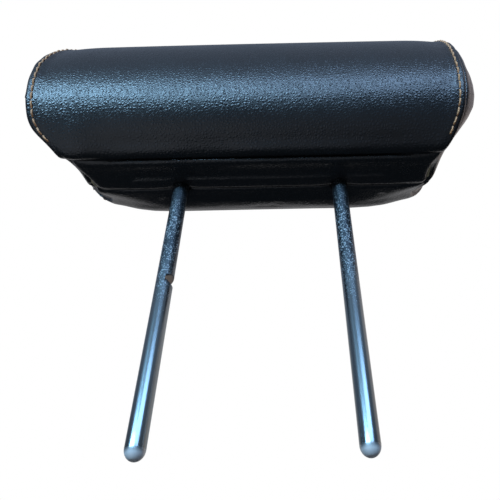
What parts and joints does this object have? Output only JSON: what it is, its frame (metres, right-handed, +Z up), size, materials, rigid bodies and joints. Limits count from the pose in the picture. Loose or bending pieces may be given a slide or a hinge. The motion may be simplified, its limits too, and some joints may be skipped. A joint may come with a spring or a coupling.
{
  "type": "car headrest",
  "caption": "Padded car seat headrest: a stitched leatherette cushion on two chromed steel posts with a height notch.",
  "frame": {"origin": "midway between the two posts, where they leave the underside of the pad", "axes": "+X to the right seen from the front, +Y to the back, +Z up out of the seat, so the posts run along -Z"},
  "size_m": [0.2972, 0.091, 0.3369],
  "materials": {
    "chromed_steel": "bright plating, pitted and dull near the pad",
    "pressed_steel": "bare pressed sheet",
    "foam": "moulded polyurethane foam",
    "leatherette": "black pebble grain, satin",
    "stitching": "copper-coloured sewing thread",
    "strip_plastic": "extruded polypropylene"
  },
  "bodies": {
    "root": {"post_frame": "chromed_steel", "support_plate": "pressed_steel", "foam_core": "foam", "front_cover": "leatherette", "back_cover": "leatherette", "underside_cover": "leatherette", "left_end_cover": "leatherette", "right_end_cover": "leatherette", "closure_hook_left": "strip_plastic", "closure_hook_middle": "strip_plastic", "closure_hook_right": "strip_plastic", "closure_catch_left": "strip_plastic", "closure_catch_middle": "strip_plastic", "closure_catch_right": "strip_plastic"}
  },
  "joints": []
}
